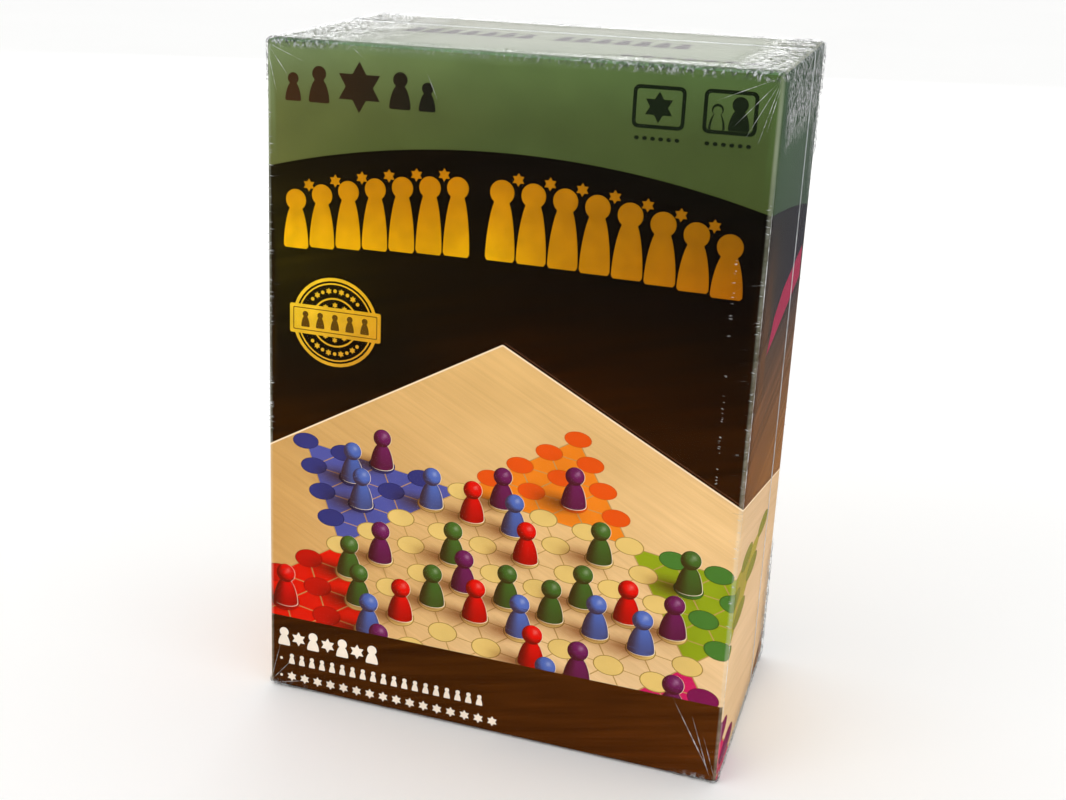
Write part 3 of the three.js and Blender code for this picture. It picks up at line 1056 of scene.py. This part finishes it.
def base_art():
    """The back's artwork, seen from behind: x runs the other way, so that it isn't mirrored."""
    art = Art()
    half, bottom, top = base_high[0], base_low[2], base_high[2]
    depth = base_high[1] - base_low[1]
    art.add(rectangle(-half - depth, half + depth, bottom, top), (46, 24, 8), "dark_wood")
    art.add(rectangle(-half, half, bottom - depth, bottom), (46, 24, 8), "dark_wood")
    art.add(rectangle(-half, half, top, top + depth), (52, 60, 36))
    field = blend_grid([-95, 95], [215, 270],
                       [[(84, 100, 54), (96, 110, 62)], [(100, 124, 78), (112, 130, 88)]])
    art.add([(x, arch_z(x)) for x in np.linspace(-half, half, 41)] + [(half, top), (-half, top)], field)
    ink = (24, 30, 16)
    art.add(six_star((0, 249.5), 8.5), ink)
    for k in (1, 2, 3):
        for sign in (-1, 1):
            height = 12.5 - 1.6 * k
            art.add(pawn_outline(sign * (2 + 11.5 * k), 243.5, height * 0.6, height, head=0.34), ink)

    cos, sin = math.cos(math.pi / 6), math.sin(math.pi / 6)

    def place(points):
        return points @ np.array([[cos, sin], [-sin, cos]]) * 9.2 + (0, 128)

    art.add(rectangle(-72, 72, 56, 200), MAPLE_FLAT, "maple")
    draw_board(art, place, BOARD_INKS, line_half=0.022, sides=16)
    white = (238, 224, 206)
    for row in range(4):
        z = 41 - row * 8.5
        art.add(circle((-74, z + 1.2), 0.9, 10), white)
        x = -69.0
        for length in ((22, 14, 30, 18, 26), (30, 12, 20, 34), (16, 26, 22, 12, 24), (28, 18))[row]:
            art.add(rounded(x, x + length, z, z + 2.4, 1.0, 4), white)
            x += length + 3.2
    for s in BACK_RADIUS * BEND:
        for sign in (-1, 1):
            for offset in (-s, s):
                art.line((sign * (half + offset), bottom - depth), (sign * (half + offset), top + depth))
        for z in (top - s, top + s, bottom - s, bottom + s):
            art.line((-half - depth, z), (half + depth, z))
    art.dots([(x, z) for x in np.linspace(-80, 80, 17) for z in np.linspace(14, 256, 25)])
    return art


def fold_base(flat):
    """Folds the base's sheet: the back looks to +Y and the flaps run forward."""
    half, bottom, top = base_high[0], base_low[2], base_high[2]
    x, z = -flat[:, 0], flat[:, 1]
    side = np.clip(np.abs(x) - half, 0, None)
    ends = np.clip(z - top, 0, None) + np.clip(bottom - z, 0, None)
    points = np.c_[np.clip(x, -half, half), base_high[1] - side - ends, np.clip(z, bottom, top)]
    return round_box(points, base_low, base_high, BACK_RADIUS, open_low_y=True)


def in_base_net(centres):
    half, depth = base_high[0], base_high[1] - base_low[1]
    x, z = np.abs(centres[:, 0]), centres[:, 1]
    body = (x < half + depth) & (z > base_low[2]) & (z < base_high[2])
    return body | ((x < half) & (z > base_low[2] - depth) & (z < base_high[2] + depth))


MAPLE_FLAT = blend_grid(
    [-140, 0, 140], [-140, 140],
    [[(226, 182, 124), (230, 188, 132), (234, 194, 140)],
     [(222, 176, 116), (228, 184, 126), (234, 192, 136)]],
)
BOARD_INKS = {
    "orange": ((236, 132, 40), (226, 92, 26), (190, 84, 24)),
    "green": ((144, 164, 44), (78, 128, 56), (64, 96, 36)),
    "magenta": ((204, 46, 104), (138, 36, 90), (112, 26, 66)),
    "yellow": ((240, 206, 70), (226, 180, 44), (186, 144, 34)),
    "red": ((222, 40, 18), (190, 30, 16), (146, 24, 12)),
    "blue": ((86, 92, 168), (60, 62, 130), (46, 46, 98)),
    "hole": ((160, 126, 62), (238, 206, 120)),
    "line": (186, 146, 88),
}

base_wrap = base_art().mesh("base_printed_paper", fold_base, in_base_net)
weld(base_wrap)
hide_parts("base_printed_wrap")
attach(base_wrap, "base")


def plain_paper(name, srgb):
    m = Nodes(name)
    mottle = m.noise(m.place(), 300, 4)
    m.set(Base_Color=m.blend(m.ramp(mottle, 0.3, 0.7), [c * 0.86 for c in srgb], srgb))
    m.set(Roughness=m.ramp(mottle, 0.3, 0.7, 0.36, 0.5))
    m.set(Normal=m.bump(m.noise(m.place(), 1400, 2), 0.1, 0.0002))
    soft_gloss(m)
    return m.material


lid_rim = turned_rim("lid_turned_in_paper", lid_low, lid_high, lid_high[1], 2.45, 14.0,
                     plain_paper("turned_paper_green", (70, 78, 50)), 1)
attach(lid_rim, "lid")
base_rim = turned_rim("base_turned_in_paper", base_low, base_high, base_low[1], 2.45, 3.0,
                      plain_paper("turned_paper_brown", (52, 30, 14)), -1)
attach(base_rim, "base")

# ---- the playing board ---------------------------------------------------------------------------

hinge_low, hinge_high = box_mm("board_hinge_linen")
hinge = (hinge_low + hinge_high) / 2
leaf_low, leaf_high = box_mm("board_back_printed_face")
BOARD_SIDE = leaf_high[2] - leaf_low[2]
LEAF_EDGE = hinge[0] - leaf_high[0]
BOARD_STEP = BOARD_SIDE / 2 / BOARD_HALF


def board_art():
    """The whole open board, centred on its fold, with two of the star's tips on the fold."""
    art = Art()
    half = BOARD_SIDE / 2
    art.add(rectangle(-half, half, -half, half), MAPLE_FLAT, "maple")
    border = art.add(rectangle(-half + 4, half - 4, -half + 4, half - 4), (150, 112, 60))
    art.hole(rectangle(-half + 4.7, half - 4.7, -half + 4.7, half - 4.7), border)

    def place(points):
        return points * BOARD_STEP

    draw_board(art, place, BOARD_INKS, line_half=0.02, sides=28)
    for name, tip in ARMS.items():
        direction = lattice(*tip) / np.hypot(*lattice(*tip))
        if abs(direction[0]) < 0.1:
            continue
        spot = direction * (half - 14) * 1.13
        art.add(six_star(np.clip(spot, -half + 11, half - 11), 4.6), BOARD_INKS[name][1])
    for x in (-LEAF_EDGE, LEAF_EDGE):
        art.line((x, -half), (x, half))
    rows = np.linspace(-half + 6, half - 6, 19)
    art.dots([(x, z) for x in rows for z in rows])
    return art


def add_board_faces():
    """Each leaf's printed sheet, a hair above its CAD sheet's inner side, at rest with the faces together."""
    art = board_art()
    middle = (leaf_low[2] + leaf_high[2]) / 2
    front_high = box_mm("board_front_printed_face")[1]

    def lay(x_sign, y):
        return lambda flat: np.c_[hinge[0] + x_sign * flat[:, 0], np.full(len(flat), y), middle + flat[:, 1]]

    back = art.mesh("board_back_print", lay(1, leaf_low[1]), lambda c: c[:, 0] < -LEAF_EDGE)
    front = art.mesh("board_front_print", lay(-1, front_high[1]), lambda c: c[:, 0] > LEAF_EDGE)
    for piece, leaf, inwards in ((back, "back", 1), (front, "front", -1)):
        thicken(piece, inwards * (leaf_high[1] - leaf_low[1]))
        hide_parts(f"board_{leaf}_printed_face")
        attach(piece, f"board_{leaf}_leaf")


def thicken(piece, along_y):
    """Gives a flat sheet its thickness, away from its printed side."""
    with editing(piece) as work:
        edges = [e for e in work.edges if e.is_boundary]
        made = bmesh.ops.extrude_edge_only(work, edges=edges)
        for vertex in made["geom"]:
            if isinstance(vertex, bmesh.types.BMVert):
                vertex.co.y += along_y * MM
        bmesh.ops.recalc_face_normals(work, faces=work.faces)


add_board_faces()

# ---- sixty pawns ---------------------------------------------------------------------------------

PAWN_COLOURS = {"blue": (44, 84, 178), "purple": (110, 36, 116), "red": (206, 22, 20),
                "green": (38, 110, 44), "orange": (230, 108, 26), "yellow": (236, 190, 40)}
PAWN_COLUMNS, PAWN_ROWS, PAWN_SIDES = 5, 2, 28


def pawn_profile(height, foot):
    """A turned pawn's outline as (radius, height): a rounded foot, a body that narrows, and a ball."""
    ball = foot * 0.36
    centre = height - ball
    neck_height = centre - ball * 0.82
    neck = ball * 0.58
    points = [(0, 0), (foot * 0.44, 0), (foot * 0.485, 0.25), (foot / 2, 0.8)]
    for t in np.linspace(0.08, 1, 14):
        points.append((neck + (foot / 2 - neck) * (1 - t ** 1.8) ** 0.8, 0.8 + t * (neck_height - 0.8)))
    for angle in np.linspace(-54, 90, 15):
        turn = math.radians(angle)
        points.append((max(ball * math.cos(turn), 0), centre + ball * math.sin(turn)))
    return points


def lathe(x, z, base_y, profile):
    """Points and faces of a shape turned about an axis along -Y, closed at both ends on the axis."""
    turns = [2 * math.pi * k / PAWN_SIDES for k in range(PAWN_SIDES)]
    points = [(x, base_y, z)]
    for radius, up in profile[1:-1]:
        points += [(x + radius * math.cos(a), base_y - up, z + radius * math.sin(a)) for a in turns]
    points.append((x, base_y - profile[-1][1], z))
    after = [(k + 1) % PAWN_SIDES for k in range(PAWN_SIDES)]
    faces = [(0, 1 + after[k], 1 + k) for k in range(PAWN_SIDES)]
    last = 1 + (len(profile) - 3) * PAWN_SIDES
    for low in range(1, last, PAWN_SIDES):
        high = low + PAWN_SIDES
        faces += [(low + k, low + after[k], high + after[k], high + k) for k in range(PAWN_SIDES)]
    return points, faces + [(last + k, last + after[k], len(points) - 1) for k in range(PAWN_SIDES)]


def add_pawns():
    for colour, srgb in PAWN_COLOURS.items():
        low, high = box_mm("pawns_" + colour)
        material = lacquered_wood("lacquer_" + colour, srgb)
        foot = (high[0] - low[0]) / (PAWN_COLUMNS + 0.02)
        pitch = (high[0] - low[0] - foot) / (PAWN_COLUMNS - 1)
        profile = pawn_profile(high[1] - low[1], foot * 0.985)
        for number in range(PAWN_ROWS * PAWN_COLUMNS):
            row, column = divmod(number, PAWN_COLUMNS)
            x = low[0] + foot / 2 + column * pitch
            z = low[2] + foot / 2 + row * pitch
            points, faces = lathe(x, z, high[1], profile)
            pawn = link_mesh(f"pawn_{colour}_{number + 1:02d}", points, faces, [material])
            pawn.data.polygons.foreach_set("use_smooth", [True] * len(faces))
            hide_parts("pawns_" + colour)
            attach(pawn, colour + "_pawns")


add_pawns()

# ---- card, insert and board pieces that keep their CAD shape -------------------------------------

finishes = {
    grey_card(): ["lid_card_shell", "base_card_shell"],
    riser_card(): ["card_riser"],
    insert_card(): ["insert_block", "insert_floor", "board_ledge"],
    board_core(): ["board_back_core", "board_front_core"],
    cover_paper(): ["board_back_cover_paper", "board_front_cover_paper"],
    hinge_linen(): ["board_hinge_linen"],
    weld_line(): ["film_weld_seam"],
}
for finish, nodes in finishes.items():
    for node in nodes:
        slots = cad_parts[node].data.materials
        slots.clear()
        slots.append(finish)

# ---- shrink film ---------------------------------------------------------------------------------

FILM_RADIUS = 2.2


def graded(low, high, fine, coarse, edge):
    """Positions from low to high, close together near both ends and wider apart between."""
    near = np.arange(0, edge, fine)
    middle = np.linspace(low + edge, high - edge, max(2, int((high - low - 2 * edge) / coarse)))
    return np.concatenate([low + near, middle, (high - near)[::-1]])


def fold_noise(points, scale, seed):
    """Smooth noise of points in millimetres, from -1 to 1."""
    shift = Vector((seed * 17.3, seed * 5.1, seed * 9.7))
    return np.array([noise.noise(Vector(p) / scale + shift) for p in points])


film_low, film_high = box_mm("film_front")
film_back_low, film_back_high = box_mm("film_back")


def crumple_amount(points):
    """Where the film has bunched up: 0 where it is tight, 1 in the bunched corners and along the ends."""
    x, y, z = points.T
    front = y - film_low[1]
    back = film_back_high[1] - y
    right = smooth(92.5, 94.8, x)
    left = smooth(-92.5, -94.8, x)
    top = smooth(265, 269.5, z)
    bottom = smooth(6, 0.5, z)
    return np.max([
        right * smooth(232, 262, z) * smooth(2, 16, front),
        right * smooth(30, 6, back) * (0.2 + 0.8 * smooth(205, 245, z)) * 0.95,
        right * smooth(26, 6, back) * smooth(70, 40, z) * 0.8,
        right * smooth(18, 4, z) * 0.5,
        left * smooth(230, 266, z) * 0.8,
        left * smooth(22, 4, back) * (0.15 + 0.5 * smooth(190, 250, z)),
        top * smooth(-30, -92, x) * 0.7,
        top * smooth(66, 92, x) * 0.9,
        top * smooth(22, 3, front) * (0.3 + 0.3 * smooth(-20, 60, x)),
        top * smooth(20, 2, back) * 0.5,
        bottom * smooth(60, 92, np.abs(x)) * 0.6,
    ], axis=0)


def ripple_amount(points):
    """Where short ripples run across the film's long front and back edges."""
    x, y, z = points.T
    face = np.maximum(smooth(3, 0, y - film_low[1]), smooth(3, 0, film_back_high[1] - y))
    side = smooth(85, 94, np.abs(x)) * face
    zone = np.where(x < 0, 0.35 + 0.65 * smooth(120, 160, z) * smooth(246, 226, z),
                    0.3 + 0.7 * smooth(60, 110, z) * smooth(225, 205, z))
    return np.clip(side * zone, 0, 1)


def film_shape(points, outward):
    """Pushes the film out and in along its normal: bunched folds, long soft waves and corner creases."""
    amount = crumple_amount(points)
    folds = 1 - 2 * np.abs(fold_noise(points, 5.5, 1))
    folds += 0.6 * (1 - 2 * np.abs(fold_noise(points, 2.6, 2)))
    waves = fold_noise(points, 34, 3)
    height = 0.42 * amount * folds + 0.07 * waves
    return points + outward * height[:, None]


def skin_patch(us, vs, locate):
    """A grid of points located by locate(u, v), with its faces."""
    grid_u, grid_v = np.meshgrid(us, vs, indexing="ij")
    points = locate(grid_u.ravel(), grid_v.ravel())
    nu, nv = len(us), len(vs)
    faces = [(i * nv + j, (i + 1) * nv + j, (i + 1) * nv + j + 1, i * nv + j + 1)
             for i in range(nu - 1) for j in range(nv - 1)]
    return points, faces


def film_half(name, node, body, front):
    """One half of the film as a single thin skin: its broad face and four sides up to the weld line."""
    low, high = (film_low, film_high) if front else (film_back_low, film_back_high)
    face_y = low[1] if front else high[1]
    seam_y = high[1] if front else low[1]
    xs = graded(low[0], high[0], 1.0, 4.0, 26)
    zs = graded(low[2], high[2], 1.0, 4.0, 40)
    ys = np.linspace(face_y, seam_y, 46)

    patches = [skin_patch(xs, zs, lambda u, v: np.c_[u, 0 * u + face_y, v])]
    for x in (low[0], high[0]):
        patches.append(skin_patch(ys, zs, lambda u, v, x=x: np.c_[0 * u + x, u, v]))
    for z in (low[2], high[2]):
        patches.append(skin_patch(xs, ys, lambda u, v, z=z: np.c_[u, v, 0 * u + z]))
    points, faces = [], []
    for patch_points, patch_faces in patches:
        start = sum(len(p) for p in points)
        points.append(patch_points)
        faces += [tuple(i + start for i in face) for face in patch_faces]
    sharp = np.concatenate(points)
    soft = round_box(sharp, low, high, FILM_RADIUS, open_low_y=not front, open_high_y=front)
    inner = np.clip(sharp, low + FILM_RADIUS, high - FILM_RADIUS)
    reach_y = (low[1] + FILM_RADIUS, None) if front else (None, high[1] - FILM_RADIUS)
    inner[:, 1] = np.clip(sharp[:, 1], *reach_y)
    outward = (soft - inner) / FILM_RADIUS
    hold = smooth(0, 3, np.abs(soft[:, 1] - seam_y))
    standing = smooth(0.0, 3.0, soft[:, 2])
    wrinkled = film_shape(soft, outward * (hold * (0.25 + 0.75 * standing))[:, None])
    piece = link_mesh(name, wrinkled, faces, [FILM])
    ends = smooth(0.6, 1.0, np.abs(outward[:, 2]))
    amounts = {"crumple": crumple_amount(soft), "ripple": ripple_amount(soft),
               "shine": FILM_SHINE + (END_SHINE - FILM_SHINE) * ends}
    for attribute, amount in amounts.items():
        layer = piece.data.attributes.new(attribute, "FLOAT", "POINT")
        layer.data.foreach_set("value", amount.astype(np.float32))
    weld(piece)
    with editing(piece) as work:
        bmesh.ops.recalc_face_normals(work, faces=work.faces)
    piece.data.polygons.foreach_set("use_smooth", [True] * len(piece.data.polygons))
    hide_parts(node)
    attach(piece, body)


FILM = shrink_film()
film_half("film_front_skin", "film_front", "front_film", True)
film_half("film_back_skin", "film_back", "back_film", False)

# Sharp folds in the film's front, each a raised ridge drawn pale as a painted highlight: x and z of both
# ends, and the width at the first end.
FRONT_FOLDS = [
    (93, 2, 75, 34, 0.4), (92, 1.5, 83, 28, 0.36), (93.5, 3, 88, 20, 0.26),
    (93.5, 268, 79, 251, 0.24), (93.5, 268, 87, 244, 0.22), (93.5, 268.5, 72, 259, 0.2),
    (93, 267, 83, 247, 0.2), (93.5, 266, 90, 250, 0.22), (-94, 268, -85, 256, 0.3),
    (-94, 268, -79, 262, 0.24), (-94, 267, -90, 250, 0.26), (-94, 2, -84, 14, 0.3),
    (-94, 2, -89, 22, 0.26), (-94, 1, -76, 6, 0.24), (-31, 262, -26, 251, 0.26),
    (-60, 268.5, -54, 264, 0.22),
]
# Painted highlights, bright lines up the right front edge: lowest z, highest z and width.
EDGE_HIGHLIGHTS = [(12, 96, 0.3), (100, 176, 0.4), (170, 236, 0.42)]
# Groups of short level ticks, painted glints: x, lowest z, highest z, how many and the longest one.
GLINT_TICKS = [(-94.4, 116, 246, 110, 3.4), (94.2, 60, 228, 60, 2.2), (84.5, 120, 208, 40, 1.6)]
SPARKLES = 70                 # painted glints: bright flecks along the film's top front edge
WEDGE_RISE = 0.12
EDGE_LIFT = FILM_RADIUS * 0.29   # from a corner of the sharp box to the middle of its rounded edge


def wedge(a, b, across, out, width):
    """A tapered ridge from a to b: wide at a, a point at b, raised along out."""
    a, b, across, out = (np.array(v, float) for v in (a, b, across, out))
    middle = a + (b - a) * 0.45
    half = across * width / 2
    points = [a, middle - half, middle + out * WEDGE_RISE, middle + half, b]
    return points, [(0, 2, 1), (0, 3, 2), (1, 2, 4), (2, 3, 4)]


def film_folds():
    """Every sharp fold, edge line, tick and sparkle on the film's front half, as one piece: raised ridges
    drawn pale, as painted highlights and painted glints.
    """
    chance = random.Random(SEED)
    front_y = film_low[1] - 0.02
    corner = film_high[0] - EDGE_LIFT
    corner_y = film_low[1] + EDGE_LIFT
    wedges = []
    for x0, z0, x1, z1, width in FRONT_FOLDS:
        along = np.array([x1 - x0, z1 - z0]) / math.hypot(x1 - x0, z1 - z0)
        across = (-along[1], 0, along[0])
        wedges.append(wedge((x0, front_y, z0), (x1, front_y, z1), across, (0, -1, 0), width))
    for low_z, high_z, width in EDGE_HIGHLIGHTS:
        outward = np.array([1, -1, 0]) / math.sqrt(2)
        start = np.array([corner, corner_y, low_z]) + outward * 0.02
        wedges.append(wedge(start, start + (0, 0, high_z - low_z), (0.7, 0.7, 0), outward, width))
    for x, low_z, high_z, count, longest in GLINT_TICKS:
        for _ in range(count):
            z = chance.uniform(low_z, high_z)
            length = longest * chance.uniform(0.3, 1.0)
            tilt = chance.uniform(-0.5, 0.5)
            start = (x, front_y, z)
            end = (x - math.copysign(length, x), front_y, z + tilt)
            wedges.append(wedge(start, end, (0, 0, 1), (0, -1, 0), chance.uniform(0.16, 0.42)))
    rim_y, rim_z = front_y + EDGE_LIFT, film_high[2] - EDGE_LIFT + 0.03
    for _ in range(SPARKLES):
        x = chance.uniform(-88, 92)
        length = chance.uniform(0.4, 1.5)
        end = (x + chance.uniform(-0.6, 0.6), rim_y - 0.5 * length, rim_z - 0.5 * length)
        wedges.append(wedge((x, rim_y, rim_z), end, (1, 0, 0), (0, -0.7, 0.7), chance.uniform(0.3, 0.75)))
    points, faces = [], []
    for wedge_points, wedge_faces in wedges:
        faces += [tuple(i + len(points) for i in face) for face in wedge_faces]
        points += wedge_points
    piece = link_mesh("film_folds_and_painted_glints", np.array(points), faces, [film_fold_highlight()])
    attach(piece, "front_film")


film_folds()

# ---- floor, lights and camera --------------------------------------------------------------------

FLOOR_HALF = 8.0
LENS, SHIFT = 50.88, (0.1056, -0.0476)
CAMERA_AT = (0.1581, -0.5612, 0.3327)
CAMERA_FORWARD = (-0.3321, 0.8916, -0.3080)
CAMERA_ROLL = math.radians(1.479)
# Area lights: place, target, width and height in metres, and power in watts.
LIGHTS = {
    "key": ((-1.3, -1.7, 1.7), (0, 0, 0.13), (1.2, 1.2), 7),
    "back_low": ((-0.57, 1.9, 0.5), (0, 0, 0.27), (1.3, 0.36), 7.5),
}


def plain_floor():
    m = Nodes("studio_floor")
    m.set(Base_Color=m.blend(m.noise(m.place(), 3, 2), (250, 250, 249), (253, 253, 252)))
    m.set(Roughness=0.7, Specular_IOR_Level=0.1)
    corners = np.array([(-1, -1, 0), (1, -1, 0), (1, 1, 0), (-1, 1, 0)]) * FLOOR_HALF
    floor = link_mesh("studio_floor", corners / MM, [(0, 1, 2, 3)], [m.material])


def area_light(name, place, target, size, power):
    light = bpy.data.lights.new(name, "AREA")
    light.shape = "RECTANGLE"
    light.size, light.size_y = size
    light.energy = power
    lamp = bpy.data.objects.new(name, light)
    lamp.location = place
    lamp.rotation_euler = (Vector(target) - Vector(place)).to_track_quat("-Z", "Y").to_euler()
    bpy.context.scene.collection.objects.link(lamp)


def studio():
    world = bpy.data.worlds.new("studio")
    bpy.context.scene.world = world
    world.use_nodes = True
    background = world.node_tree.nodes["Background"]
    background.inputs["Color"].default_value = (1, 1, 1, 1)
    background.inputs["Strength"].default_value = 1.0
    for name, light in LIGHTS.items():
        area_light(name, *light)
    bpy.context.scene.view_settings.view_transform = "Standard"


def photo_camera():
    """A camera at the photograph's viewing angle."""
    data = bpy.data.cameras.new("photo_camera")
    data.sensor_width = 36
    data.lens = LENS
    data.shift_x, data.shift_y = SHIFT
    data.clip_start = 0.01
    camera = bpy.data.objects.new("photo_camera", data)
    forward = Vector(CAMERA_FORWARD).normalized()
    level = forward.cross(Vector((0, 0, 1))).normalized()
    upright = level.cross(forward)
    right = level * math.cos(CAMERA_ROLL) + upright * math.sin(CAMERA_ROLL)
    up = right.cross(forward)
    turn = Matrix((right, up, -forward)).transposed().to_4x4()
    camera.matrix_world = Matrix.Translation(CAMERA_AT) @ turn
    bpy.context.scene.collection.objects.link(camera)
    bpy.context.scene.camera = camera


plain_floor()
studio()
photo_camera()
